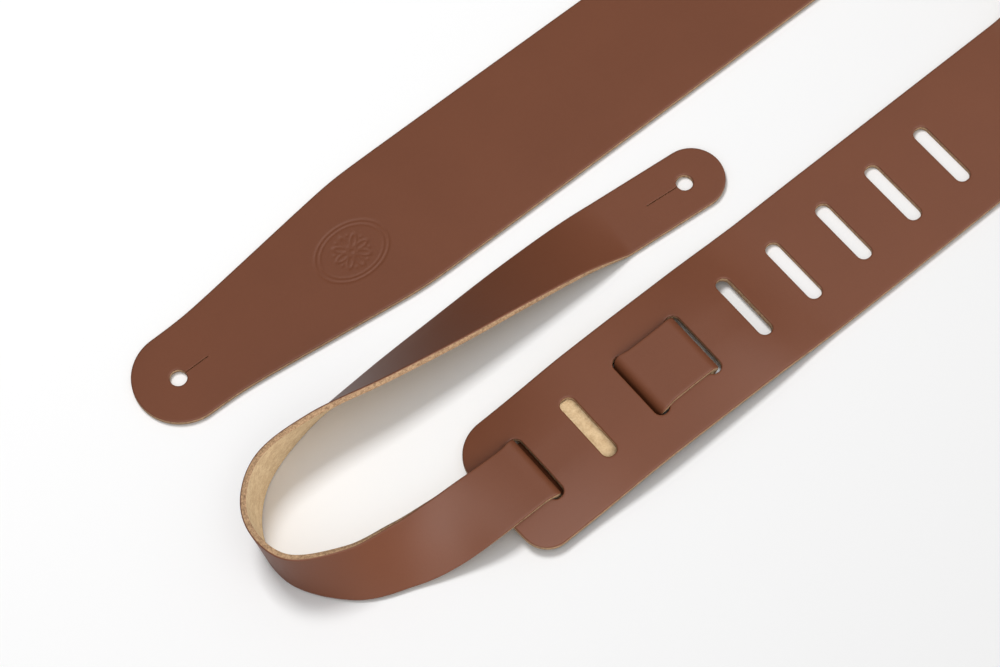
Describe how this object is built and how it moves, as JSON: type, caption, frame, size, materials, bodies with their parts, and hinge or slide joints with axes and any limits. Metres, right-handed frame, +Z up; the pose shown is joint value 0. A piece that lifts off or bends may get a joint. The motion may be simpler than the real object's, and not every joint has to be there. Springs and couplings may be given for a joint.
{
  "type": "guitar strap",
  "caption": "Wide leather guitar strap with a button hole at each end and a narrow leather tail woven through a row of slots to set its length.",
  "frame": {"origin": "on the axis of the front button hole, at the underside of the leather, which is the surface that the strap lies on", "axes": "+X along the two legs of the laid-out belt towards its turn, +Y from the rear leg towards the front leg, +Z up, out of the grain side"},
  "size_m": [0.5231, 0.1891, 0.064],
  "materials": {
    "belt_leather": "satin brown grain above, bare tan flesh side below, raw tan cut edges",
    "tail_leather": "satin brown grain above, bare tan flesh side below, raw tan cut edges"
  },
  "bodies": {
    "belt_rear": {"belt_rear_run": "belt_leather", "belt_rear_turn": "belt_leather"},
    "belt_front_turn": {"belt_front_turn": "belt_leather"},
    "belt_front_run": {"belt_front_run": "belt_leather"},
    "belt_front_tab": {"belt_front_tab": "belt_leather"},
    "tail_weave": {"tail_lock_tab": "tail_leather", "tail_wrap": "tail_leather", "tail_underpass": "tail_leather", "tail_lead": "tail_leather", "tail_bend": "tail_leather", "tail_twist": "tail_leather"},
    "tail_return": {"tail_return": "tail_leather"},
    "tail_tip": {"tail_tip": "tail_leather"}
  },
  "joints": [
    {"name": "belt_loop_open", "type": "hinge", "parent": "belt_rear", "child": "belt_front_turn", "pos_m": [0.49896, -0.06544, 0.032], "axis": [0, 0, -1], "range_deg": [0, 35]},
    {"name": "front_run_lift", "type": "hinge", "parent": "belt_front_turn", "child": "belt_front_run", "pos_m": [0.36985, -0.00387, 0.0028], "axis": [0.0105, 0.9999, 0], "range_deg": [0, 45]},
    {"name": "front_tab_lift", "type": "hinge", "parent": "belt_front_run", "child": "belt_front_tab", "pos_m": [0.11814, -0.00124, 0.0028], "axis": [0.0105, 0.9999, 0], "range_deg": [0, 60]},
    {"name": "weave_play", "type": "slide", "parent": "belt_rear", "child": "tail_weave", "axis": [1, 0, 0], "range_m": [-0.0005, 0.0005]},
    {"name": "tail_return_lift", "type": "hinge", "parent": "tail_weave", "child": "tail_return", "pos_m": [0.13003, -0.05829, 0.00901], "axis": [-0.042, -0.8819, 0.4695], "range_deg": [0, 40]},
    {"name": "tail_tip_lift", "type": "hinge", "parent": "tail_return", "child": "tail_tip", "pos_m": [0.18102, -0.06257, 0.0026], "axis": [-0.0934, -0.9956, 0], "range_deg": [0, 60]}
  ]
}
